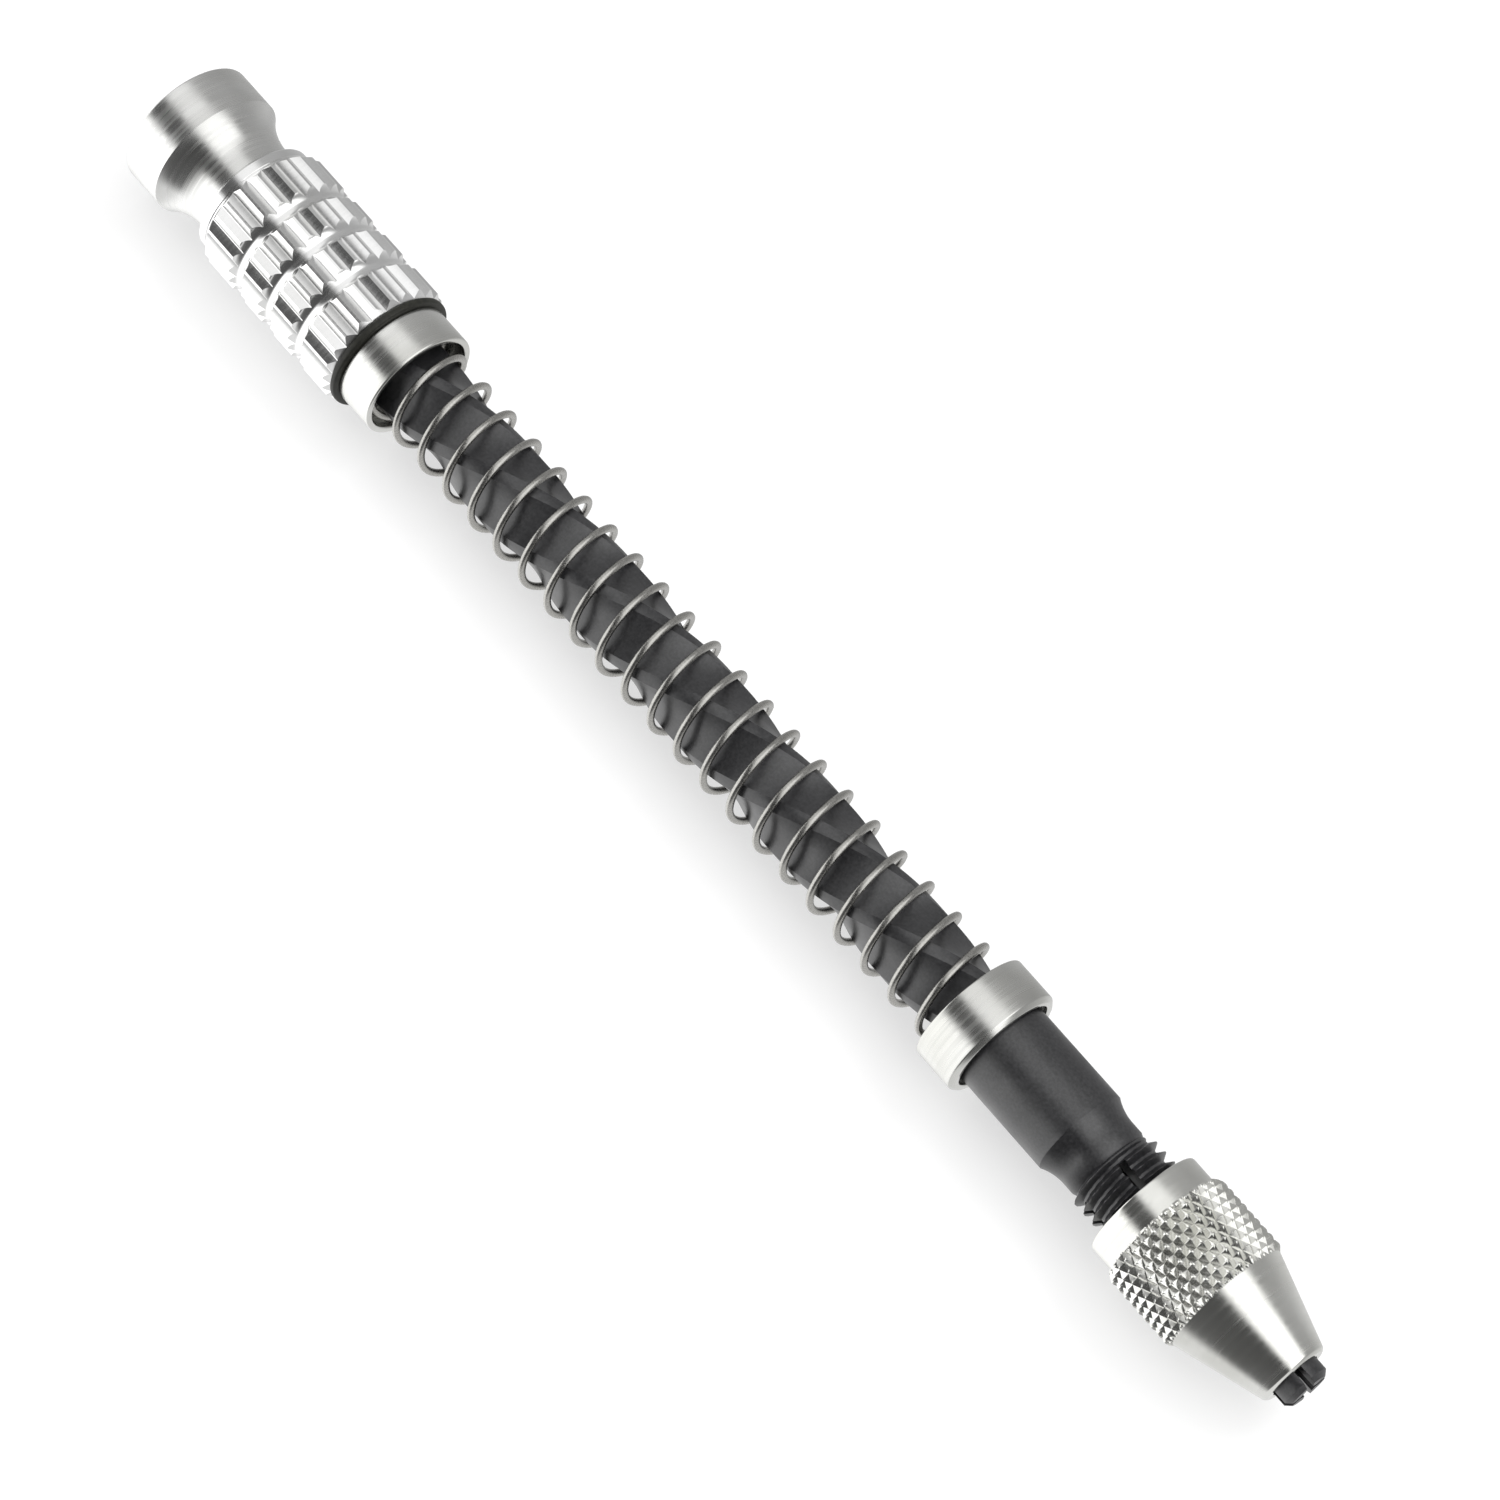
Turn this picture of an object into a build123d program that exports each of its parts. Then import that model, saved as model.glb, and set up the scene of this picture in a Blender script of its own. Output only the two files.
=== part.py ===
from build123d import *
import math
import os

# Spring-return push drill (pin vise with a spiral rod), lying on its side.
# Millimetres. The drill's axis runs along X: the swivel head is at -X and the chuck at +X.
# +Z is up, and the origin is under the middle of the drill, on the surface that it lies on.
# Each piece is turned about the X axis first, and is lifted to its place when it is written.

# --- driving sizes ---------------------------------------------------------------------------
LENGTH = 110.0
HEAD_R = 4.87
AXIS_Z = HEAD_R                  # the head is the widest piece, so it sets the axis's height
RUN = 0.05                       # radial clearance of a running fit
HANDLE_BORE_R = 3.05             # the rod's end stop runs in this bore

# swivel head
HEAD_REAR_X = -LENGTH / 2
HEAD_EDGE_X = -51.79             # front edge of the cylindrical rim
HEAD_CHAMFER = 0.25
NECK_R = 3.69
NECK_X = -48.7                   # the flare runs out into the neck here
STEM_END_X = -44.92
HEAD_BORE_END_X = -53.9

# swivel retaining ring, half in the stem and half in the grip
SWIVEL_RING_X = -46.25
SWIVEL_RING_W = 0.5
SWIVEL_RING_R_IN = 3.42
SWIVEL_RING_R_OUT = 3.95
GROOVE_GAP = 0.04

# grip
GRIP_R = 4.84
GRIP_REAR_X = -47.84
GRIP_FRONT_X = -33.55
GRIP_CHAMFER = 0.5
GRIP_SHOULDER_X = -44.5
FLUTES = 24
FLUTE_DEPTH = 0.38
FLUTE_FLOOR_W = 0.15
FLUTE_TOP_W = 0.70
FLUTE_ANGLE = 8.6                # angle of the first flute's centre, from +Y towards +Z
GRIP_GROOVES_X = (-43.28, -40.16, -37.0)
GRIP_GROOVE_W = 1.32
GRIP_GROOVE_DEPTH = 0.46

# spring cup and drive nut at the front of the handle
O_RING_R = 4.6
COLLAR_REAR_X = -33.05
COLLAR_FRONT_X = -30.10
COLLAR_R = 4.18
COLLAR_ROUND = 0.22
CUP_R = 3.73                     # bore of both spring cups
CUP_FLOOR_X = -32.4
SPIGOT_R = 3.9
SPIGOT_REAR_X = -36.4
NUT_R = 3.4
NUT_REAR_X = -35.9
NUT_PIN_R = 0.4
WASHER_T = 0.35

# spiral rod: a twisted square bar with its corners turned down
ROD_LEAD = 40.0
ROD_HALF_FLAT = 2.23
ROD_CORNER_R = 2.77
ROD_FLAT_ANGLE = 14.6            # a flat's normal stands at this angle ...
ROD_FLAT_X = -25.83              # ... at this place along the axis
STUB_R = 2.1
STUB_REAR_X = -37.2
STOP_WASHER_R = 2.9
CLIP_W = 0.4
CLIP_R_IN = 1.8
CLIP_R_OUT = 2.6

# return spring
SPRING_R = 3.44
WIRE_R = 0.25
SPRING_PITCH = 2.5815
SPRING_CREST_X = -26.92          # the wire's centre is at ROD_FLAT_ANGLE at this place

# thrust collar (lower spring cup)
THRUST_REAR_X = 24.18
THRUST_FRONT_X = 27.5
THRUST_R = 4.15
THRUST_CUP_FLOOR_X = 25.35
THRUST_WEB_X = 26.22
THRUST_RECESS_R = 3.5
THRUST_WASHER_R = 3.45
CIRCLIP_X = 26.75
CIRCLIP_R_IN = 2.98
CIRCLIP_R_OUT = 3.42

# chuck body with four sprung jaws
BODY_REAR_X = 25.4
BODY_R = 3.20
BODY_EDGE_X = 34.53
WAIST_R = 2.76
WAIST_X = 36.2
THREAD_X = 37.44
THREAD_R = 3.08
THREAD_END_X = 44.8
JAW_R = 2.60
JAW_CONE_X = 49.6
JAW_TIP_R = 1.64
JAW_CONE_END_X = 53.2
JAW_TIP_X = LENGTH / 2
JAW_SLOT_W = 0.55
JAW_SLOT_X = 38.0
JAW_SLOT_ANGLE = 1.5
DRILL_R = 0.6                    # bore of the closed jaws
DRILL_GRIP_X = 49.0
DRILL_CLEAR_R = 0.8
SOCKET_R = 2.15
SOCKET_END_X = 31.5
TAIL_GAP = 0.02                  # the rod's tail is this much slimmer than its socket
CROSS_PIN_X = 25.95
CROSS_PIN_R = 0.3

# chuck nut
CHUCK_NUT_REAR_X = 40.16
CHUCK_NUT_COLLAR_R = 4.05
KNURL_REAR_X = 42.05
KNURL_FRONT_X = 47.77
KNURL_R = 4.51
KNURL_BEVEL = 0.32
CONE_R = 4.19
CONE_TIP_R = 2.35
CONE_TIP_X = 53.64
NUT_FACE_X = 53.81
NUT_FACE_R = 2.12


# --- shape helpers ---------------------------------------------------------------------------
def turned(outline):
    """Solid of revolution about the X axis. The outline's Y is the radius."""
    return revolve(make_face(outline), Axis.X)


def turned_points(*points):
    return turned(Polyline(*points, close=True))


def tube(x0, x1, r_in, r_out):
    return turned_points((x0, r_in), (x1, r_in), (x1, r_out), (x0, r_out))


def rod(x0, x1, radius):
    return turned_points((x0, 0), (x1, 0), (x1, radius), (x0, radius))


def split_ring(x_mid, width, r_in, r_out, gap):
    """Retaining ring with a gap on its upper side."""
    ring = tube(x_mid - width / 2, x_mid + width / 2, r_in, r_out)
    return ring - Pos(x_mid, 0, r_out) * Box(2 * width, gap, 2 * r_out)


def twisted_square(x0, x1, clearance=0.0):
    """Left-hand twisted square bar between two places on the axis."""
    square = Rectangle(2 * (ROD_HALF_FLAT + clearance), 2 * (ROD_HALF_FLAT + clearance))
    section = square & Circle(ROD_CORNER_R + clearance)
    length = x1 - x0
    turn = 360 * length / ROD_LEAD
    right_hand = Solid.extrude_linear_with_rotation(section.face(), (0, 0, 0), (0, 0, length), turn)
    bar = Rot(0, 90, 0) * mirror(right_hand, Plane.XZ)
    angle_at_x0 = ROD_FLAT_ANGLE - 360 * (x0 - ROD_FLAT_X) / ROD_LEAD
    return Pos(x0, 0, 0) * Rot(angle_at_x0, 0, 0) * bar


def radial_pin(x, radius, r_in, r_out, angle):
    """Pin that points away from the axis at an angle from +Y towards +Z."""
    pin = Cylinder(radius, r_out - r_in)
    return Rot(angle, 0, 0) * Pos(x, (r_in + r_out) / 2, 0) * Rot(90, 0, 0) * pin


# --- swivel head -----------------------------------------------------------------------------
def swivel_groove(r_in, r_out):
    half = SWIVEL_RING_W / 2 + GROOVE_GAP
    return tube(SWIVEL_RING_X - half, SWIVEL_RING_X + half, r_in, r_out)


def head_knob():
    rear = Polyline(
        (STEM_END_X, NECK_R),
        (STEM_END_X, HANDLE_BORE_R),
        (HEAD_BORE_END_X + 0.6, HANDLE_BORE_R),
        (HEAD_BORE_END_X, HANDLE_BORE_R - 0.6),
        (HEAD_BORE_END_X, 0),
        (HEAD_REAR_X, 0),
        (HEAD_REAR_X, HEAD_R - HEAD_CHAMFER),
        (HEAD_REAR_X + HEAD_CHAMFER, HEAD_R),
        (HEAD_EDGE_X, HEAD_R),
    )
    flare = TangentArc((NECK_X, NECK_R), (HEAD_EDGE_X, HEAD_R), tangent=(-1, 0))
    neck = Line((NECK_X, NECK_R), (STEM_END_X, NECK_R))
    return turned([rear, flare, neck]) - swivel_groove(SWIVEL_RING_R_IN - GROOVE_GAP, HEAD_R)


def head_snap_ring():
    return split_ring(SWIVEL_RING_X, SWIVEL_RING_W, SWIVEL_RING_R_IN, SWIVEL_RING_R_OUT, 1.2)


def head_thrust_washer():
    return tube(STEM_END_X + 0.02, GRIP_SHOULDER_X, HANDLE_BORE_R, NECK_R)


# --- grip ------------------------------------------------------------------------------------
def grip_groove(x_mid):
    """Ring cutter: a round-bottomed groove."""
    half = GRIP_GROOVE_W / 2
    bead = (half ** 2 + GRIP_GROOVE_DEPTH ** 2) / (2 * GRIP_GROOVE_DEPTH)
    return revolve(Pos(x_mid, GRIP_R - GRIP_GROOVE_DEPTH + bead) * Circle(bead), Axis.X)


def flute_cutters():
    """Cutters with a narrow floor and sloping sides along the whole grip, evenly spaced round it."""
    root = GRIP_R - FLUTE_DEPTH
    over = 0.1
    half_floor = FLUTE_FLOOR_W / 2
    half_top = FLUTE_TOP_W / 2 + (FLUTE_TOP_W - FLUTE_FLOOR_W) / 2 * over / FLUTE_DEPTH
    wedge = Polyline(
        (root, half_floor), (GRIP_R + over, half_top), (GRIP_R + over, -half_top), (root, -half_floor), close=True
    )
    length = GRIP_FRONT_X - GRIP_REAR_X + 2
    cutter = Pos(GRIP_REAR_X - 1, 0, 0) * extrude(Plane.YZ * make_face(wedge), length)
    return [Rot(FLUTE_ANGLE + 360 * i / FLUTES, 0, 0) * cutter for i in range(FLUTES)]


def grip_sleeve():
    shell = turned_points(
        (GRIP_REAR_X, NECK_R + RUN),
        (GRIP_SHOULDER_X, NECK_R + RUN),
        (GRIP_SHOULDER_X, HANDLE_BORE_R),
        (SPIGOT_REAR_X, HANDLE_BORE_R),
        (SPIGOT_REAR_X, SPIGOT_R),
        (GRIP_FRONT_X, SPIGOT_R),
        (GRIP_FRONT_X, GRIP_R - GRIP_CHAMFER / 2),
        (GRIP_FRONT_X - GRIP_CHAMFER / 2, GRIP_R),
        (GRIP_REAR_X + GRIP_CHAMFER, GRIP_R),
        (GRIP_REAR_X, GRIP_R - GRIP_CHAMFER),
    )
    shell -= swivel_groove(NECK_R - 0.2, SWIVEL_RING_R_OUT + GROOVE_GAP)
    shell -= flute_cutters()
    return shell - [grip_groove(x) for x in GRIP_GROOVES_X]


def grip_o_ring():
    width = COLLAR_REAR_X - GRIP_FRONT_X
    ring = tube(GRIP_FRONT_X, COLLAR_REAR_X, SPIGOT_R, O_RING_R)
    outer_edges = ring.edges().filter_by(GeomType.CIRCLE).sort_by(SortBy.RADIUS)[-2:]
    return fillet(outer_edges, 0.45 * width)


# --- front of the handle ---------------------------------------------------------------------
def upper_collar():
    body = turned_points(
        (SPIGOT_REAR_X, HANDLE_BORE_R),
        (NUT_REAR_X, HANDLE_BORE_R),
        (NUT_REAR_X, NUT_R),
        (CUP_FLOOR_X, NUT_R),
        (CUP_FLOOR_X, CUP_R),
        (COLLAR_FRONT_X, CUP_R),
        (COLLAR_FRONT_X, COLLAR_R - COLLAR_ROUND),
        (COLLAR_FRONT_X - COLLAR_ROUND, COLLAR_R),
        (COLLAR_REAR_X, COLLAR_R),
        (COLLAR_REAR_X, SPIGOT_R),
        (SPIGOT_REAR_X, SPIGOT_R),
    )
    return body - nut_pin_group()


def drive_nut():
    blank = rod(NUT_REAR_X, CUP_FLOOR_X, NUT_R)
    hole = twisted_square(NUT_REAR_X - 1, CUP_FLOOR_X + 1, RUN)
    return blank - hole - nut_pin_group()


def nut_pin_group():
    """Two dowels that stop the drive nut from turning in the collar."""
    x_mid = (NUT_REAR_X + CUP_FLOOR_X) / 2
    pins = [radial_pin(x_mid, NUT_PIN_R, ROD_CORNER_R + 0.2, SPIGOT_R, angle) for angle in (90, 270)]
    return pins[0] + pins[1]


def upper_spring_washer():
    return tube(CUP_FLOOR_X, CUP_FLOOR_X + WASHER_T, ROD_CORNER_R + 0.1, CUP_R - 0.05)


# --- spring ----------------------------------------------------------------------------------
def return_spring():
    x0 = CUP_FLOOR_X + WASHER_T + WIRE_R
    x1 = THRUST_CUP_FLOOR_X - WASHER_T - WIRE_R
    mean_r = SPRING_R - WIRE_R
    coil = Helix(SPRING_PITCH, x1 - x0, mean_r)
    wire = sweep(Plane(coil @ 0, z_dir=coil % 0) * Circle(WIRE_R), path=coil, is_frenet=True)
    start_angle = ROD_FLAT_ANGLE + 360 * (x0 - SPRING_CREST_X) / SPRING_PITCH
    return Pos(x0, 0, 0) * Rot(start_angle + 90, 0, 0) * Rot(0, 90, 0) * wire


# --- spiral rod and its stop -----------------------------------------------------------------
def spiral_rod():
    shoulder_x = NUT_REAR_X - 0.03
    bar = twisted_square(shoulder_x, BODY_REAR_X)
    stub = rod(STUB_REAR_X, shoulder_x, STUB_R) - stop_clip_groove()
    tail = rod(BODY_REAR_X, SOCKET_END_X - 0.1, SOCKET_R - TAIL_GAP)
    return bar + stub + tail - cross_pin()


def stop_clip_x():
    return NUT_REAR_X - 0.05 - WASHER_T - CLIP_W / 2 - 0.05


def stop_clip_groove():
    return tube(stop_clip_x() - CLIP_W / 2 - 0.03, stop_clip_x() + CLIP_W / 2 + 0.03, CLIP_R_IN, STUB_R + 1)


def rod_stop_washer():
    front = NUT_REAR_X - 0.05
    return tube(front - WASHER_T, front, STUB_R + 0.02, STOP_WASHER_R)


def rod_stop_clip():
    return split_ring(stop_clip_x(), CLIP_W, CLIP_R_IN + 0.02, CLIP_R_OUT, 1.6)


def cross_pin():
    """Pin that locks the rod's tail in the chuck body, hidden under the thrust collar."""
    return Pos(CROSS_PIN_X, 0, 0) * Cylinder(CROSS_PIN_R, 2 * (BODY_R - 0.05))


# --- thrust collar ---------------------------------------------------------------------------
def lower_collar():
    return turned_points(
        (THRUST_REAR_X, CUP_R),
        (THRUST_CUP_FLOOR_X, CUP_R),
        (THRUST_CUP_FLOOR_X, BODY_R + RUN),
        (THRUST_WEB_X, BODY_R + RUN),
        (THRUST_WEB_X, THRUST_RECESS_R),
        (THRUST_FRONT_X, THRUST_RECESS_R),
        (THRUST_FRONT_X, THRUST_R - 0.4),
        (THRUST_FRONT_X - 0.4, THRUST_R),
        (THRUST_REAR_X + COLLAR_ROUND, THRUST_R),
        (THRUST_REAR_X, THRUST_R - COLLAR_ROUND),
    )


def lower_spring_washer():
    return tube(THRUST_CUP_FLOOR_X - WASHER_T, THRUST_CUP_FLOOR_X, ROD_CORNER_R + 0.1, CUP_R - 0.05)


def collar_thrust_washer():
    front = CIRCLIP_X - CLIP_W / 2
    return tube(THRUST_WEB_X, front - 0.02, BODY_R + RUN, THRUST_WASHER_R)


def collar_circlip():
    return split_ring(CIRCLIP_X, CLIP_W, CIRCLIP_R_IN, CIRCLIP_R_OUT, 1.4)


# --- chuck -----------------------------------------------------------------------------------
def jaw_slots():
    """Two crossed saw cuts that divide the front of the chuck body into four jaws."""
    length = JAW_TIP_X - JAW_SLOT_X + 1
    cut = Pos(JAW_SLOT_X + length / 2, 0, 0) * Box(length, 4 * BODY_R, JAW_SLOT_W)
    return [Rot(JAW_SLOT_ANGLE + turn, 0, 0) * cut for turn in (0, 90)]


def chuck_body():
    rear = Polyline(
        (WAIST_X, WAIST_R),
        (THREAD_X, WAIST_R),
        (THREAD_X, THREAD_R),
        (THREAD_END_X, THREAD_R),
        (THREAD_END_X, JAW_R),
        (JAW_CONE_X, JAW_R),
        (JAW_CONE_END_X, JAW_TIP_R),
        (JAW_TIP_X - 0.3, JAW_TIP_R),
        (JAW_TIP_X, JAW_TIP_R - 0.3),
        (JAW_TIP_X, DRILL_R),
        (DRILL_GRIP_X, DRILL_R),
        (DRILL_GRIP_X, DRILL_CLEAR_R),
        (JAW_SLOT_X, DRILL_CLEAR_R),
        (JAW_SLOT_X, 0),
        (SOCKET_END_X, 0),
        (SOCKET_END_X, SOCKET_R),
        (BODY_REAR_X, SOCKET_R),
        (BODY_REAR_X, BODY_R),
        (BODY_EDGE_X, BODY_R),
    )
    waist = TangentArc((WAIST_X, WAIST_R), (BODY_EDGE_X, BODY_R), tangent=(-1, 0))
    half = CLIP_W / 2 + 0.02
    groove = tube(CIRCLIP_X - half, CIRCLIP_X + half, CIRCLIP_R_IN - 0.02, BODY_R + 1)
    return turned([rear, waist]) - groove - jaw_slots() - cross_pin()


def chuck_nut():
    cone_gap = 0.06
    bore_r = THREAD_R + RUN
    return turned_points(
        (CHUCK_NUT_REAR_X, bore_r),
        (THREAD_END_X + 0.4, bore_r),
        (THREAD_END_X + 1.2, JAW_R + cone_gap),
        (JAW_CONE_X, JAW_R + cone_gap),
        (JAW_CONE_END_X, JAW_TIP_R + cone_gap),
        (NUT_FACE_X, JAW_TIP_R + cone_gap),
        (NUT_FACE_X, NUT_FACE_R),
        (CONE_TIP_X, CONE_TIP_R),
        (KNURL_FRONT_X, CONE_R),
        (KNURL_FRONT_X - KNURL_BEVEL / 2, KNURL_R - KNURL_BEVEL / 2),
        (KNURL_FRONT_X - KNURL_BEVEL, KNURL_R),
        (KNURL_REAR_X + KNURL_BEVEL, KNURL_R),
        (KNURL_REAR_X, CHUCK_NUT_COLLAR_R),
        (CHUCK_NUT_REAR_X + 0.2, CHUCK_NUT_COLLAR_R),
        (CHUCK_NUT_REAR_X, CHUCK_NUT_COLLAR_R - 0.2),
    )


# --- write every piece -----------------------------------------------------------------------
PIECES = {
    "head_knob": head_knob,
    "head_snap_ring": head_snap_ring,
    "head_thrust_washer": head_thrust_washer,
    "grip_sleeve": grip_sleeve,
    "grip_o_ring": grip_o_ring,
    "upper_collar": upper_collar,
    "drive_nut": drive_nut,
    "drive_nut_pins": nut_pin_group,
    "upper_spring_washer": upper_spring_washer,
    "return_spring": return_spring,
    "spiral_rod": spiral_rod,
    "rod_stop_washer": rod_stop_washer,
    "rod_stop_clip": rod_stop_clip,
    "rod_cross_pin": cross_pin,
    "lower_collar": lower_collar,
    "lower_spring_washer": lower_spring_washer,
    "collar_thrust_washer": collar_thrust_washer,
    "collar_circlip": collar_circlip,
    "chuck_body": chuck_body,
    "chuck_nut": chuck_nut,
}

os.makedirs("parts", exist_ok=True)
for name, make in PIECES.items():
    export_step(Pos(0, 0, AXIS_Z) * make(), f"parts/{name}.step")
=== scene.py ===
import math

import bmesh
import bpy
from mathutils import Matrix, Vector


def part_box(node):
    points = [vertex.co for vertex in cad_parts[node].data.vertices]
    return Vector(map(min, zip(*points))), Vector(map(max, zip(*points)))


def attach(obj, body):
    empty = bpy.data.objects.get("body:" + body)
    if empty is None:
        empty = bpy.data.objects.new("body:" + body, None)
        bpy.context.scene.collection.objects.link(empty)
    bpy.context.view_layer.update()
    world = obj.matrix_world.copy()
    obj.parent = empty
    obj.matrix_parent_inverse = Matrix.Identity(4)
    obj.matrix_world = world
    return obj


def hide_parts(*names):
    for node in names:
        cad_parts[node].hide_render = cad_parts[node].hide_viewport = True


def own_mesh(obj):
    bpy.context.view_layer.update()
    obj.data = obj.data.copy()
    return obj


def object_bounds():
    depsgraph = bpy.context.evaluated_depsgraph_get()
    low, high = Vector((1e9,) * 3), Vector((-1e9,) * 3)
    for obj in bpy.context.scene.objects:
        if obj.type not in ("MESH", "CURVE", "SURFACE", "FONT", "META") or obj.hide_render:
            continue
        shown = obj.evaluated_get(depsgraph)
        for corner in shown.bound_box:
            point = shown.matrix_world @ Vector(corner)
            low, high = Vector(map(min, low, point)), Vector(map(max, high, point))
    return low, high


# Visual model of a spring-return push drill. Everything is in metres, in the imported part's frame:
# the drill's axis runs along X, with the swivel head at -X and the chuck at +X.
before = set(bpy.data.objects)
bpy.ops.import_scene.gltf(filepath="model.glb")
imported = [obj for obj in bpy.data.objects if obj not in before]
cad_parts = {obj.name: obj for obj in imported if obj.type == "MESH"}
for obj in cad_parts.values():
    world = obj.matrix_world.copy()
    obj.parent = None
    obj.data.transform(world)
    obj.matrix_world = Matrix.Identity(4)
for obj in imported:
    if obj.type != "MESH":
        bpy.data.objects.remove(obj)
cad_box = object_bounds()

MM = 0.001
AXIS_Z = (cad_box[0].z + cad_box[1].z) / 2 / MM      # height of the drill's axis, in mm
TURN = 2 * math.pi


def span(node):
    """First and last X of a CAD node, and its largest radius, in mm."""
    low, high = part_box(node)
    return low.x / MM, high.x / MM, (high.y - low.y) / 2 / MM


# --- mesh helpers: outlines are lists of (x, radius) in mm ------------------------------------
def add_piece(name, points, faces, body, replaced, sharp=32.0):
    """Mesh object from points in mm about the drill's axis, riding on a CAD body."""
    mesh = bpy.data.meshes.new(name)
    lifted = [(x * MM, y * MM, (z + AXIS_Z) * MM) for x, y, z in points]
    mesh.from_pydata(lifted, [], faces)
    clean = bmesh.new()
    clean.from_mesh(mesh)
    bmesh.ops.remove_doubles(clean, verts=clean.verts, dist=1e-7)
    bmesh.ops.dissolve_degenerate(clean, edges=clean.edges, dist=1e-8)
    bmesh.ops.recalc_face_normals(clean, faces=clean.faces)
    clean.to_mesh(mesh)
    clean.free()
    mesh.shade_smooth()
    mesh.set_sharp_from_angle(angle=math.radians(sharp))
    piece = bpy.data.objects.new(name, mesh)
    bpy.context.scene.collection.objects.link(piece)
    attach(piece, body)
    if replaced:
        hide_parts(*replaced)
    return piece


def at(x, radius, angle):
    return (x, radius * math.cos(angle), radius * math.sin(angle))


def soften(outline, radius=0.06, steps=3, closed=False):
    """Outline with its corners rounded by short arcs."""
    result = []
    count = len(outline)
    for i, corner in enumerate(outline):
        if not closed and i in (0, count - 1):
            result.append(corner)
            continue
        here = Vector(corner)
        back = Vector(outline[i - 1]) - here
        on = Vector(outline[(i + 1) % count]) - here
        bend = math.pi - back.angle(on)
        reach = min(radius * math.tan(bend / 2), 0.45 * back.length, 0.45 * on.length)
        if bend < math.radians(12):
            result.append(corner)
            continue
        start = here + back.normalized() * reach
        end = here + on.normalized() * reach
        for k in range(steps + 1):
            t = k / steps
            point = start * (1 - t) ** 2 + here * 2 * t * (1 - t) + end * t * t
            result.append((point.x, point.y))
    return result


def arc(x0, r0, x1, r1, centre, steps=10):
    """Points on a circle from one point to another about a centre."""
    a0 = math.atan2(r0 - centre[1], x0 - centre[0])
    a1 = math.atan2(r1 - centre[1], x1 - centre[0])
    if a1 - a0 > math.pi:
        a1 -= TURN
    if a0 - a1 > math.pi:
        a1 += TURN
    size = math.hypot(x0 - centre[0], r0 - centre[1])
    angles = [a0 + (a1 - a0) * k / steps for k in range(steps + 1)]
    return [(centre[0] + size * math.cos(a), centre[1] + size * math.sin(a)) for a in angles]


def skin(rings, closed, ridge=None):
    """Faces between rings of equal length. Ring j's point i is point j * n + i.
    ridge picks each quad's diagonal: 1 keeps ridges sharp, -1 keeps valleys sharp."""
    n = len(rings[0])
    points = [p for ring in rings for p in ring]
    faces = []
    rows = len(rings) if closed else len(rings) - 1
    for j in range(rows):
        low = j * n
        high = (j + 1) % len(rings) * n
        for i in range(n):
            k = (i + 1) % n
            a, b, c, d = low + i, low + k, high + k, high + i
            if ridge is None:
                faces.append((a, b, c, d))
                continue
            ac = math.hypot(*points[a][1:]) + math.hypot(*points[c][1:])
            bd = math.hypot(*points[b][1:]) + math.hypot(*points[d][1:])
            if (ac - bd) * ridge > 0:
                faces += [(a, b, c), (a, c, d)]
            else:
                faces += [(a, b, d), (b, c, d)]
    return points, faces


def turned(name, outline, body, replaced, segments=160, closed=True):
    """Solid of revolution. A closed outline makes a ring, an open one starts and ends on the axis."""
    rings = [[at(x, r, TURN * i / segments) for i in range(segments)] for x, r in outline]
    points, faces = skin(rings, closed)
    return add_piece(name, points, faces, body, replaced)


# --- swivel head -----------------------------------------------------------------------------
def head_knob():
    rear, stem_end, head_r = span("head_knob")
    grip_rear = span("grip_sleeve")[0]
    neck_r = 3.69
    bore_r = 3.05
    edge = rear + 3.21
    flare_end = rear + 6.3
    flare_r = 4.636
    flare = arc(edge, head_r, flare_end, neck_r, (flare_end, neck_r + flare_r), 24)
    rim = soften([(rear, 0.0), (rear, head_r), (edge, head_r)], 0.16, 5)
    ring_x = grip_rear + 1.59
    inside = [
        (ring_x - 0.29, neck_r), (ring_x - 0.29, neck_r - 0.31),
        (ring_x + 0.29, neck_r - 0.31), (ring_x + 0.29, neck_r),
        (stem_end, neck_r), (stem_end, bore_r), (rear + 1.7, bore_r), (rear + 1.1, bore_r - 0.6),
        (rear + 1.1, 0.0),
    ]
    outline = rim + flare[1:] + inside
    return turned("head_knob_turned", outline, "head", ["head_knob"], 192, closed=False)


# --- fluted grip -----------------------------------------------------------------------------
FLUTES = 24
FLUTE_DEPTH = 0.38
FLUTE_PHASE = math.radians(8.6)      # centre of one flute's floor
FLANK_STEPS = 5


def flute_angles():
    """(angle, depth) samples round the grip: floor, flank, land and flank of every flute."""
    pitch = TURN / FLUTES
    floor, flank, land = 0.04, 0.41, 0.14
    one = [(-floor / 2, 1.0), (floor / 2, 1.0)]
    one += [(floor / 2 + flank * k / FLANK_STEPS, 1 - k / FLANK_STEPS) for k in range(1, FLANK_STEPS + 1)]
    one += [(floor / 2 + flank + land * k / 3, 0.0) for k in (1, 2, 3)]
    one += [(1 - floor / 2 - flank + flank * k / FLANK_STEPS, k / FLANK_STEPS) for k in range(1, FLANK_STEPS)]
    return [
        (FLUTE_PHASE + pitch * (i + share), FLUTE_DEPTH * depth)
        for i in range(FLUTES) for share, depth in one
    ]


def groove_rows(middle, half=0.66, depth=0.46):
    """(x, depth) rows across one round-bottomed groove."""
    size = (half * half + depth * depth) / (2 * depth)
    levels = [FLUTE_DEPTH * k / FLANK_STEPS for k in range(FLANK_STEPS + 1)]
    levels += [depth - 0.04, depth - 0.012]
    rows = [(math.sqrt(size ** 2 - (size - depth + level) ** 2), level) for level in levels]
    left = [(middle - x, level) for x, level in rows]
    right = [(middle + x, level) for x, level in reversed(rows)]
    return left + [(middle, depth)] + right


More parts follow.
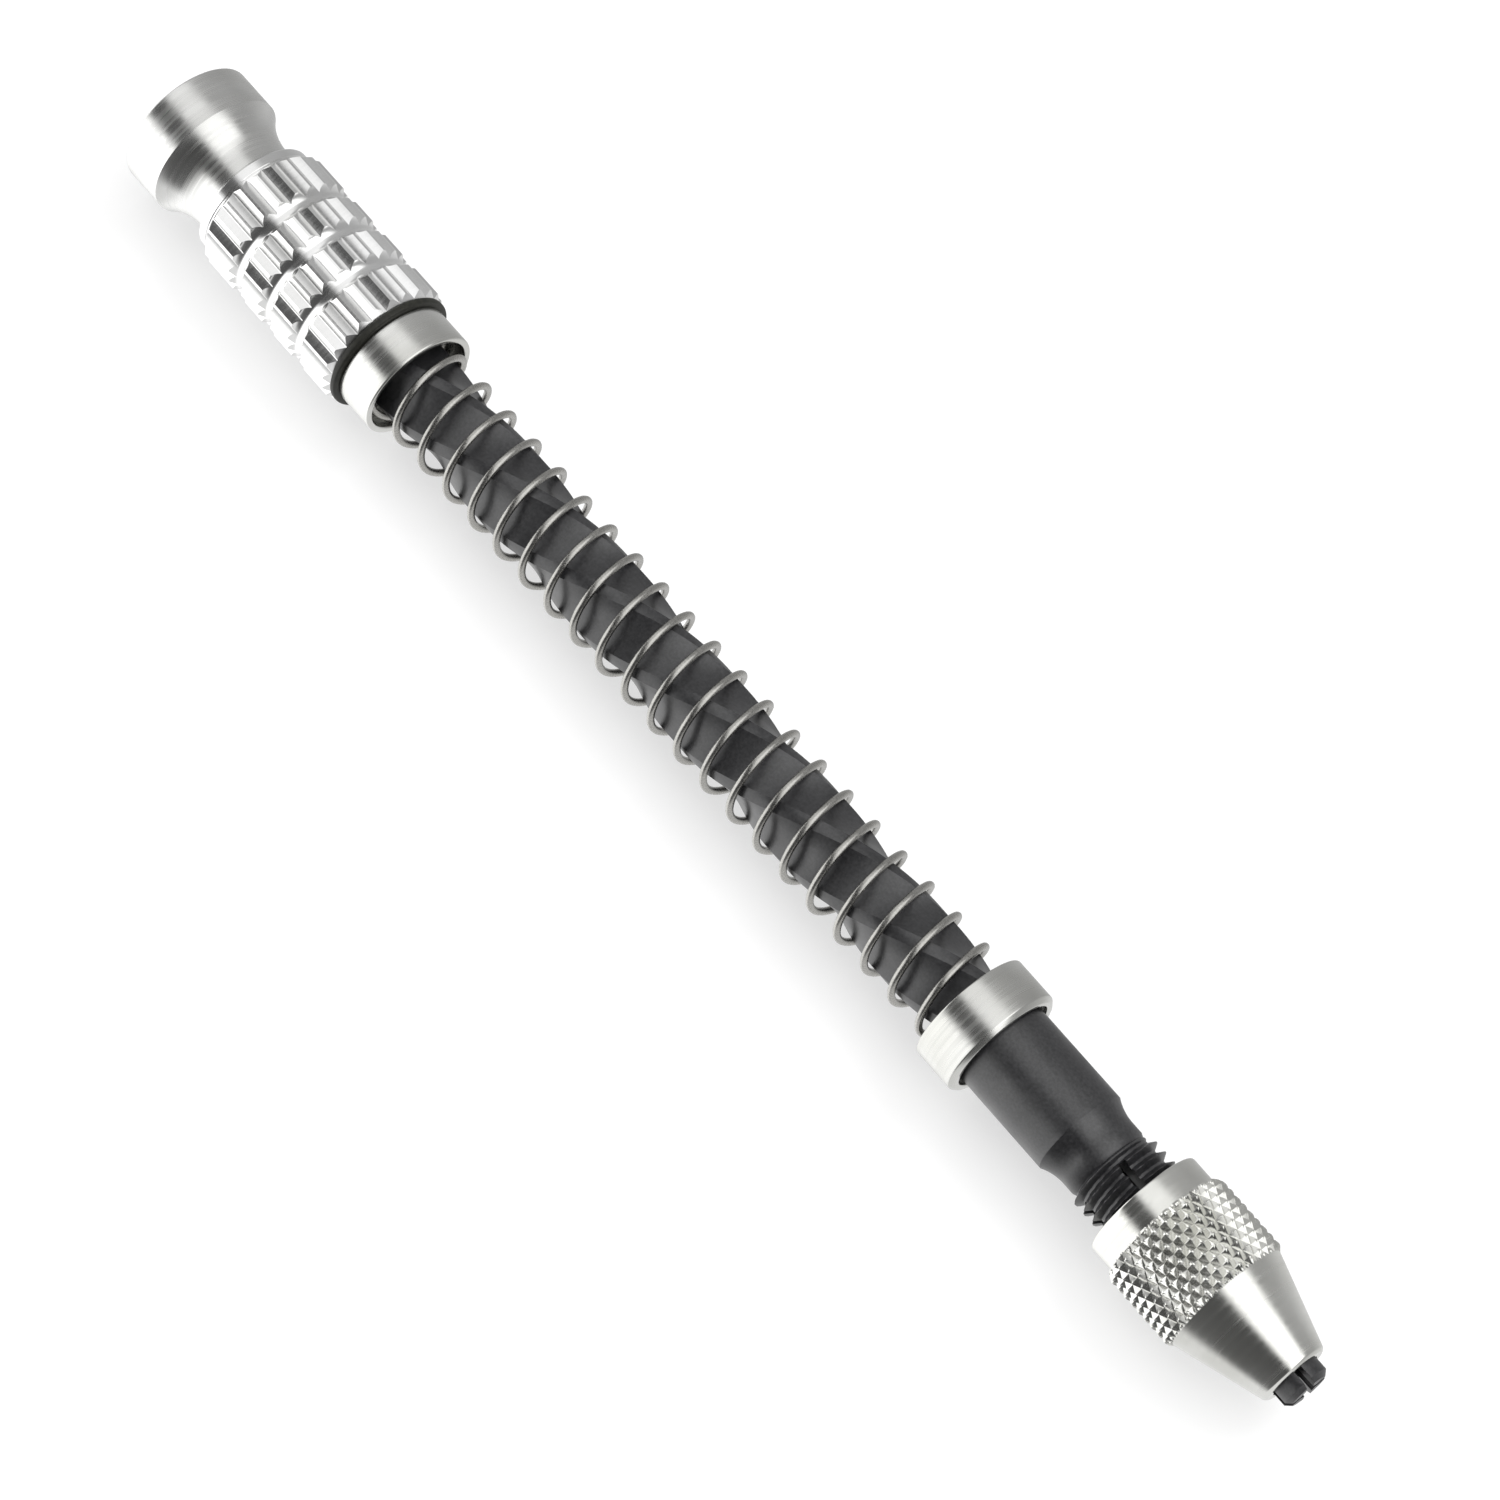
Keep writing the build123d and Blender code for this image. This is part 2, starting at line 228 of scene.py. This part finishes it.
def grip_sleeve():
    rear, front, radius = span("grip_sleeve")
    levels = [FLUTE_DEPTH * k / FLANK_STEPS for k in range(FLANK_STEPS, -1, -1)]
    rim_depth = 0.44
    rows = [(rear, 0.62), (rear + 0.1, 0.5), (rear + 0.2, rim_depth), (rear + 0.78, rim_depth), (rear + 0.84, 0.5)]
    rows += [(rear + 0.94, 0.5)]
    rows += [(rear + 1.0 + 0.35 * k / FLANK_STEPS, level) for k, level in enumerate(levels)]
    for middle in (-43.28, -40.16, -37.0):
        rows += groove_rows(middle)
    rows += [(front - 0.42 + 0.32 * k / FLANK_STEPS, level) for k, level in enumerate(reversed(levels))]
    rows += [(front, 0.46)]
    samples = flute_angles()
    rings = [[at(x, radius - max(cut, depth), angle) for angle, depth in samples] for x, cut in rows]
    inner = [(front, 3.9), (-36.4, 3.9), (-36.4, 3.05), (-44.5, 3.05), (-44.5, 3.74)]
    inner += [(-45.96, 3.74), (-45.96, 3.99), (-46.54, 3.99), (-46.54, 3.74), (rear, 3.74)]
    rings += [[at(x, r, angle) for angle, depth in samples] for x, r in inner]
    points, faces = skin(rings, True, ridge=1)
    return add_piece("grip_sleeve_fluted", points, faces, "handle", ["grip_sleeve"], sharp=14.0)


# --- rings and collars -----------------------------------------------------------------------
def o_ring():
    rear, front, radius = span("grip_o_ring")
    outline = soften([(rear, 3.9), (front, 3.9), (front, radius), (rear, radius)], 0.2, 5, closed=True)
    return turned("grip_o_ring_moulded", outline, "handle", ["grip_o_ring"], 128)


def upper_collar():
    rear, front, radius = span("upper_collar")
    flange = span("grip_o_ring")[1]
    cup_floor = span("upper_spring_washer")[0]
    nut_rear, _, nut_r = span("drive_nut")
    cup_r = 3.73
    rim = soften([(cup_floor, cup_r), (front, cup_r), (front, radius), (flange, radius), (flange, 3.9)], 0.16, 5)
    outline = rim + [(rear, 3.9), (rear, 3.05), (nut_rear, 3.05), (nut_rear, nut_r), (cup_floor, nut_r)]
    return turned("upper_collar_turned", outline, "handle", ["upper_collar"], 192)


def lower_collar():
    rear, front, radius = span("lower_collar")
    web = span("lower_spring_washer")[1]
    recess = span("collar_thrust_washer")[0]
    body_gap_r = 3.25
    recess_r = 3.5
    cup_r = 3.73
    outline = [
        (web, cup_r), (web, body_gap_r), (recess, body_gap_r), (recess, recess_r), (front, recess_r),
        (front, radius - 0.28), (front - 0.3, radius), (rear, radius), (rear, cup_r),
    ]
    return turned("lower_collar_turned", soften(outline, 0.14, 5, closed=True), "spring_cup", ["lower_collar"], 192)


# --- spiral rod ------------------------------------------------------------------------------
ROD_LEAD = 40.0
ROD_FLAT = 2.23
ROD_CORNER = 2.77
ROD_ANGLE = math.radians(14.6)       # direction of a flat's normal at ROD_X
ROD_X = -25.83


def rod_section():
    """(angle, radius) round the twisted square, with its corners turned to a cylinder."""
    half_land = math.pi / 4 - math.acos(ROD_FLAT / ROD_CORNER)
    samples = []
    for side in range(4):
        middle = side * math.pi / 2
        reach = math.pi / 4 - half_land
        for k in range(-6, 7):
            a = reach * k / 6
            samples.append((middle + a, ROD_FLAT / math.cos(a)))
        corner = middle + math.pi / 4
        samples += [(corner + half_land * k / 3, ROD_CORNER) for k in (-2, -1, 0, 1, 2)]
    return samples


def spiral_rod():
    stub_end, tail_end, _ = span("spiral_rod")
    start = span("drive_nut")[0] - 0.03
    end = span("chuck_body")[0]
    section = rod_section()
    stub_r = 2.1
    tail_r = 2.15

    def ring(x, radius=None):
        turn = ROD_ANGLE - TURN * (x - ROD_X) / ROD_LEAD
        return [at(x, radius or r, a + turn) for a, r in section]

    rows = 360
    rings = [ring(stub_end, 0.001), ring(stub_end, stub_r), ring(start, stub_r)]
    rings += [ring(start + (end - start) * k / rows) for k in range(rows + 1)]
    rings += [ring(end, tail_r), ring(tail_end, tail_r), ring(tail_end, 0.001)]
    points, faces = skin(rings, False)
    faces += [tuple(range(len(section))), tuple(len(points) - 1 - i for i in range(len(section)))]
    return add_piece("spiral_rod_twisted", points, faces, "spindle", ["spiral_rod"], sharp=20.0)


# --- return spring ---------------------------------------------------------------------------
def return_spring():
    """Round wire coil with a closed turn at each end, seated on the two washers."""
    wire_r = 0.25
    mean_r = 3.19
    pitch = 2.5815
    crest_x = -26.92
    first = span("upper_spring_washer")[1] + wire_r
    last = span("lower_spring_washer")[0] - wire_r
    per_turn = 64
    start_turn = (first - crest_x) / pitch - 0.35
    end_turn = (last - crest_x) / pitch + 0.35
    steps = round((end_turn - start_turn) * per_turn)
    path = []
    for k in range(steps + 1):
        turn = start_turn + (end_turn - start_turn) * k / steps
        x = crest_x + pitch * turn
        path.append((first + eased(x - first) - eased(x - last), ROD_ANGLE + TURN * turn))
    rings = []
    for x, angle in path:
        centre = Vector(at(x, mean_r, angle))
        out = Vector((0, math.cos(angle), math.sin(angle)))
        along = Vector((1, 0, 0))
        ring = [centre + (out * math.cos(a) + along * math.sin(a)) * wire_r
                for a in (TURN * i / 14 for i in range(14))]
        rings.append([tuple(p) for p in ring])
    points, faces = skin(rings, False)
    faces += [tuple(range(14)), tuple(len(points) - 1 - i for i in range(14))]
    return add_piece("return_spring_coiled", points, faces, "handle", ["return_spring"], sharp=60.0)


def eased(rise, bend=0.08):
    """Zero below zero and the rise itself above it, with a smooth bend between, for the flattened end turns."""
    return (rise + math.sqrt(rise * rise + bend)) / 2


# --- chuck body ------------------------------------------------------------------------------
def thread_radius(x, angle, start, end, crest, root, pitch=0.8):
    """60 degree thread, right-handed, with narrow flats, fading out at both ends."""
    phase = (x / pitch - angle / TURN) % 1.0
    height = max(0.0, min(1.0, (0.5 - abs(phase - 0.5)) * 2.6 - 0.3))
    fade = min(1.0, max(0.0, (x - start) / 0.25), max(0.0, (end - x) / 0.25))
    return root + (crest - root) * height * fade


def chuck_body():
    rear, tip, body_r = span("chuck_body")
    edge = 34.53
    waist_x = 36.2
    waist_r = 2.76
    thread_x, thread_end = 37.3, 44.8
    crest, root = 3.10, 2.62
    circlip_x = (span("collar_circlip")[0] + span("collar_circlip")[1]) / 2
    outline = [(31.5, 0.0), (31.5, 2.15), (rear, 2.15), (rear, body_r)]
    outline += [(circlip_x - 0.22, body_r), (circlip_x - 0.22, 2.96), (circlip_x + 0.22, 2.96)]
    outline += [(circlip_x + 0.22, body_r)]
    run = waist_x - edge
    drop = body_r - waist_r
    size = (run * run + drop * drop) / (2 * drop)
    outline += arc(edge, body_r, waist_x, waist_r, (waist_x, waist_r + size), 12)
    outline += [(thread_x - 0.3, waist_r)]
    segments = 144
    rings = [[at(x, r, TURN * i / segments) for i in range(segments)] for x, r in outline]
    rows = 190
    for k in range(rows + 1):
        x = thread_x + (thread_end - thread_x) * k / rows
        angles = [TURN * i / segments for i in range(segments)]
        rings.append([at(x, thread_radius(x, a, thread_x, thread_end, crest, root), a) for a in angles])
    nose = [(thread_end, 2.6), (49.6, 2.6), (53.2, 1.64), (tip - 0.32, 1.64), (tip, 1.3), (tip, 0.6)]
    nose += [(49.0, 0.6), (49.0, 0.8), (38.0, 0.8), (38.0, 0.0)]
    rings += [[at(x, r, TURN * i / segments) for i in range(segments)] for x, r in nose]
    points, faces = skin(rings, False)
    body = add_piece("chuck_body_threaded", points, faces, "spindle", ["chuck_body"], sharp=28.0)
    saw_cuts(body, 38.0, tip + 0.5, 0.55, math.radians(1.5))
    return body


def saw_cuts(piece, start, end, width, angle):
    """Cuts two crossed slots into the front of a piece, for good."""
    cutter = bpy.data.meshes.new("saw_cuts")
    shape = bmesh.new()
    for turn in (0.0, math.pi / 2):
        made = bmesh.ops.create_cube(shape, size=1.0)["verts"]
        for v in made:
            x = (start + end) / 2 + v.co.x * (end - start)
            y, z = v.co.y * 12.0, v.co.z * width
            c, s = math.cos(angle + turn), math.sin(angle + turn)
            v.co = Vector((x * MM, (y * c - z * s) * MM, (y * s + z * c + AXIS_Z) * MM))
    shape.to_mesh(cutter)
    shape.free()
    tool = bpy.data.objects.new("saw_cuts", cutter)
    bpy.context.scene.collection.objects.link(tool)
    cut = piece.modifiers.new("slots", "BOOLEAN")
    cut.operation = "DIFFERENCE"
    cut.solver = "EXACT"
    cut.use_self = True
    cut.object = tool
    bpy.context.view_layer.objects.active = piece
    bpy.ops.object.modifier_apply(modifier=cut.name)
    bpy.data.objects.remove(tool)
    piece.data.set_sharp_from_angle(angle=math.radians(28))


# --- chuck nut -------------------------------------------------------------------------------
def chuck_nut():
    rear, face, knurl_r = span("chuck_nut")
    teeth = 32
    cells = 8                            # grid cells across one diamond
    knurl_start, knurl_end = 42.05, 47.77
    depth = 0.30
    segments = teeth * cells
    lattice = 1.16                       # a diamond's length along the axis
    rows = round((knurl_end - knurl_start) / lattice * cells)
    angles = [TURN * i / segments for i in range(segments)]

    def groove(value):
        """1 in the bottom of a groove at every whole number, 0 on the flat top of a diamond."""
        off = abs(value - round(value))
        return max(0.0, 1 - off / 0.42)

    rings = []
    bevel = 0.34
    for k in range(rows + 1):
        x = knurl_start + (knurl_end - knurl_start) * k / rows
        v = k / cells
        edge = min(x - knurl_start, knurl_end - x)
        limit = 0.0 if edge > bevel else (bevel - edge) * 0.9
        ring = []
        for i, a in enumerate(angles):
            u = i / cells
            cut = depth * max(groove((u + v)), groove((u - v)))
            ring.append(at(x, knurl_r - max(cut, limit), a))
        rings.append(ring)
    collar_r = 4.05
    bore_r = 3.13
    head = soften([(rear, bore_r), (rear, collar_r), (knurl_start - 0.02, collar_r)], 0.22, 6)
    tail = soften([(knurl_end + 0.02, 4.19), (53.64, 2.35), (face, 2.12), (face, 1.7)], 0.24, 6)
    tail += [(53.2, 1.70), (49.6, 2.66), (46.0, 2.66), (45.2, 3.13)]

    def plain(outline):
        return [[at(x, r, a) for a in angles] for x, r in outline]

    points, faces = skin(plain(head) + rings + plain(tail), True, ridge=-1)
    return add_piece("chuck_nut_knurled", points, faces, "nut", ["chuck_nut"], sharp=16.0)


# --- materials -------------------------------------------------------------------------------
def shader(name, colour, metallic, roughness):
    material = bpy.data.materials.new(name)
    material.use_nodes = True
    principled = material.node_tree.nodes["Principled BSDF"]
    principled.inputs["Base Color"].default_value = (*colour, 1.0)
    principled.inputs["Metallic"].default_value = metallic
    principled.inputs["Roughness"].default_value = roughness
    return material, principled


def texture(material, kind, stretch, **inputs):
    """Noise over the piece's own coordinates, stretched per axis. Returns its value socket."""
    nodes, links = material.node_tree.nodes, material.node_tree.links
    place = nodes.new("ShaderNodeTexCoord")
    mapping = nodes.new("ShaderNodeMapping")
    mapping.inputs["Scale"].default_value = stretch
    links.new(place.outputs["Object"], mapping.inputs["Vector"])
    noise = nodes.new(kind)
    for key, value in inputs.items():
        noise.inputs[key].default_value = value
    links.new(mapping.outputs["Vector"], noise.inputs["Vector"])
    return noise.outputs[0]


def ranged(material, value, low, high, start=0.3, end=0.7):
    """Maps a texture value from start..end to low..high."""
    nodes, links = material.node_tree.nodes, material.node_tree.links
    node = nodes.new("ShaderNodeMapRange")
    node.inputs["From Min"].default_value = start
    node.inputs["From Max"].default_value = end
    node.inputs["To Min"].default_value = low
    node.inputs["To Max"].default_value = high
    links.new(value, node.inputs["Value"])
    return node.outputs["Result"]


def tint(material, value, dark, light, start=0.3, end=0.7):
    """Colour ramp between two colours."""
    nodes, links = material.node_tree.nodes, material.node_tree.links
    ramp = nodes.new("ShaderNodeValToRGB")
    ramp.color_ramp.elements[0].position = start
    ramp.color_ramp.elements[0].color = (*dark, 1)
    ramp.color_ramp.elements[1].position = end
    ramp.color_ramp.elements[1].color = (*light, 1)
    links.new(value, ramp.inputs["Fac"])
    return ramp.outputs["Color"]


def bump(material, principled, value, distance, strength=1.0):
    nodes, links = material.node_tree.nodes, material.node_tree.links
    node = nodes.new("ShaderNodeBump")
    node.inputs["Distance"].default_value = distance
    node.inputs["Strength"].default_value = strength
    links.new(value, node.inputs["Height"])
    chained = principled.inputs["Normal"]
    if chained.links:
        links.new(chained.links[0].from_socket, node.inputs["Normal"])
    links.new(node.outputs["Normal"], chained)


def turned_metal(name, dark, light, rough, lines=6000.0, drift=60.0, depth=2e-6):
    """Metal with fine lines round the axis: the noise is squeezed along X and slow across."""
    material, principled = shader(name, light, 1.0, sum(rough) / 2)
    links = material.node_tree.links
    fine = texture(material, "ShaderNodeTexNoise", (lines, drift, drift), Scale=1.0, Detail=3.0)
    broad = texture(material, "ShaderNodeTexNoise", (220.0, 160.0, 160.0), Scale=1.0, Detail=4.0)
    links.new(ranged(material, fine, *rough), principled.inputs["Roughness"])
    links.new(tint(material, broad, dark, light), principled.inputs["Base Color"])
    bump(material, principled, fine, depth)
    return material


def black_oxide():
    """Black-oxide steel: nearly black, mottled, faintly glossy, with paler worn grains."""
    material, principled = shader("black_oxide_steel", (0.03, 0.03, 0.033), 0.0, 0.42)
    links = material.node_tree.links
    grain = texture(material, "ShaderNodeTexNoise", (5200.0,) * 3, Scale=1.0, Detail=5.0, Roughness=0.65)
    clouds = texture(material, "ShaderNodeTexNoise", (420.0,) * 3, Scale=1.0, Detail=3.0)
    links.new(tint(material, grain, (0.005, 0.005, 0.006), (0.026, 0.026, 0.028), 0.38, 0.72),
              principled.inputs["Base Color"])
    links.new(ranged(material, clouds, 0.30, 0.44), principled.inputs["Roughness"])
    principled.inputs["Specular IOR Level"].default_value = 1.0
    bump(material, principled, grain, 8e-6, 0.7)
    return material


def drawn_wire():
    material, principled = shader("drawn_spring_wire", (0.42, 0.41, 0.385), 1.0, 0.3)
    links = material.node_tree.links
    grain = texture(material, "ShaderNodeTexNoise", (9000.0,) * 3, Scale=1.0, Detail=3.0)
    links.new(tint(material, grain, (0.36, 0.355, 0.335), (0.52, 0.51, 0.485)), principled.inputs["Base Color"])
    links.new(ranged(material, grain, 0.22, 0.34), principled.inputs["Roughness"])
    bump(material, principled, grain, 3e-6, 0.5)
    return material


def rubber():
    material, principled = shader("black_rubber", (0.02, 0.02, 0.015), 0.0, 0.55)
    links = material.node_tree.links
    grain = texture(material, "ShaderNodeTexNoise", (3000.0,) * 3, Scale=1.0, Detail=3.0)
    links.new(tint(material, grain, (0.004, 0.004, 0.002), (0.014, 0.014, 0.009)), principled.inputs["Base Color"])
    bump(material, principled, grain, 5e-6, 0.5)
    return material


def paint(piece, material):
    piece.data.materials.clear()
    piece.data.materials.append(material)


# --- build -----------------------------------------------------------------------------------
knob = head_knob()
grip = grip_sleeve()
ring = o_ring()
cup = upper_collar()
thrust = lower_collar()
rod = spiral_rod()
spring = return_spring()
chuck = chuck_body()
nut = chuck_nut()

SATIN = turned_metal("turned_aluminium", (0.64, 0.64, 0.62), (0.82, 0.82, 0.81), (0.18, 0.32), depth=3.5e-6)
BRIGHT = turned_metal("bright_aluminium", (0.80, 0.80, 0.79), (0.92, 0.92, 0.92), (0.14, 0.24), depth=1.6e-6)
BRUSHED = turned_metal("brushed_aluminium", (0.60, 0.60, 0.57), (0.80, 0.80, 0.78), (0.18, 0.32), depth=5e-6)
PLATED = turned_metal("turned_nut", (0.66, 0.66, 0.62), (0.86, 0.86, 0.83), (0.16, 0.28), depth=3e-6)
BLACK = black_oxide()
WIRE = drawn_wire()
STEEL = turned_metal("plain_steel", (0.38, 0.38, 0.38), (0.52, 0.52, 0.52), (0.25, 0.4))
BRASS = turned_metal("turned_brass", (0.55, 0.38, 0.14), (0.75, 0.56, 0.24), (0.2, 0.35))
RUBBER = rubber()

paint(knob, SATIN)
paint(grip, BRIGHT)
paint(ring, RUBBER)
paint(cup, BRUSHED)
paint(thrust, BRUSHED)
paint(rod, BLACK)
paint(spring, WIRE)
paint(chuck, BLACK)
paint(nut, PLATED)
CARRIED = {
    "head_snap_ring": STEEL, "head_thrust_washer": BRASS, "drive_nut": BLACK, "drive_nut_pins": STEEL,
    "upper_spring_washer": STEEL, "rod_stop_washer": STEEL, "rod_stop_clip": STEEL, "rod_cross_pin": STEEL,
    "lower_spring_washer": STEEL, "collar_thrust_washer": STEEL, "collar_circlip": BLACK,
}
for node, material in CARRIED.items():
    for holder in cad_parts[node].material_slots:
        holder.material = material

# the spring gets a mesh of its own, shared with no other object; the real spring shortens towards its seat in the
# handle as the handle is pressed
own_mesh(spring)

# --- floor, light, camera --------------------------------------------------------------------
bpy.ops.mesh.primitive_plane_add(size=4.0, location=(0, 0, cad_box[0].z))
floor = bpy.context.object
floor.name = "floor"
pale, floor_shader = shader("floor_white", (0.42, 0.42, 0.42), 0.0, 0.9)
floor_shader.inputs["Emission Color"].default_value = (1.0, 1.0, 1.0, 1.0)
floor_shader.inputs["Emission Strength"].default_value = 0.58
floor_shader.inputs["Specular IOR Level"].default_value = 0.0
paint(floor, pale)
floor.visible_glossy = False


def ramp_round(world, share, bands):
    """Brightness as a function of the angle round the X axis, -180 to 180 degrees from +Y over +Z."""
    nodes, links = world.node_tree.nodes, world.node_tree.links
    ramp = nodes.new("ShaderNodeValToRGB")
    elements = ramp.color_ramp.elements
    while len(elements) < len(bands):
        elements.new(0.5)
    for element, (degrees, level) in zip(elements, bands):
        element.position = 0.5 + degrees / 360
        element.color = (level, level, level, 1)
    links.new(share, ramp.inputs["Fac"])
    return ramp.outputs["Color"]


def studio_world(rear, front):
    """White cards and dark flags as bands round the X axis, one set towards -X and one towards +X."""
    world = bpy.data.worlds.new("studio")
    world.use_nodes = True
    nodes, links = world.node_tree.nodes, world.node_tree.links
    direction = nodes.new("ShaderNodeTexCoord")
    axes = nodes.new("ShaderNodeSeparateXYZ")
    angle = nodes.new("ShaderNodeMath")
    angle.operation = "ARCTAN2"
    share = nodes.new("ShaderNodeMapRange")
    share.inputs["From Min"].default_value = -math.pi
    share.inputs["From Max"].default_value = math.pi
    side = nodes.new("ShaderNodeMapRange")
    side.interpolation_type = "SMOOTHSTEP"
    side.inputs["From Min"].default_value = -0.22
    side.inputs["From Max"].default_value = 0.12
    mix = nodes.new("ShaderNodeMixRGB")
    links.new(direction.outputs["Generated"], axes.inputs["Vector"])
    links.new(axes.outputs["Z"], angle.inputs[0])
    links.new(axes.outputs["Y"], angle.inputs[1])
    links.new(angle.outputs["Value"], share.inputs["Value"])
    links.new(axes.outputs["X"], side.inputs["Value"])
    links.new(side.outputs["Result"], mix.inputs["Fac"])
    links.new(ramp_round(world, share.outputs["Result"], rear), mix.inputs["Color1"])
    links.new(ramp_round(world, share.outputs["Result"], front), mix.inputs["Color2"])
    links.new(mix.outputs["Color"], nodes["Background"].inputs["Color"])
    bpy.context.scene.world = world


def area_light(name, place, size, power):
    """Soft light that lights and casts shadows, but isn't mirrored in the metal."""
    data = bpy.data.lights.new(name, "AREA")
    data.energy = power
    data.size = size
    lamp = bpy.data.objects.new(name, data)
    lamp.location = place
    lamp.rotation_euler = (-Vector(place)).to_track_quat("-Z", "Y").to_euler()
    lamp.visible_glossy = False
    bpy.context.scene.collection.objects.link(lamp)


studio_world(
    rear=[
        (-180, 1.7), (-112, 1.4), (-84, 0.72), (-50, 0.50), (0, 0.40), (52, 0.46), (66, 1.05), (98, 1.05),
        (107, 0.10), (136, 0.08), (148, 1.7), (180, 1.7),
    ],
    front=[
        (-180, 0.12), (-164, 0.16), (-146, 0.85), (-60, 0.80), (0, 0.42), (36, 0.36), (48, 1.6), (94, 1.6),
        (108, 0.06), (180, 0.12),
    ],
)
area_light("fill", (0.0, 0.1, 0.8), 1.6, 5.6)
area_light("key", (0.10, 0.30, 0.42), 0.25, 0.8)

camera_data = bpy.data.cameras.new("camera")
camera_data.lens = 110.3
camera_data.sensor_width = 36.0
camera_data.clip_start = 0.01
camera = bpy.data.objects.new("camera", camera_data)
azimuth, elevation, distance = math.radians(50.66), math.radians(67.69), 0.2848
target = Vector((0.00282, 0.00042, AXIS_Z * MM))
back = Vector((
    math.sin(azimuth) * math.cos(elevation), -math.cos(azimuth) * math.cos(elevation), math.sin(elevation)
))
camera.location = target + back * distance
camera.rotation_euler = (-back).to_track_quat("-Z", "Y").to_euler()
bpy.context.scene.collection.objects.link(camera)
bpy.context.scene.camera = camera
bpy.context.scene.view_settings.view_transform = "Standard"
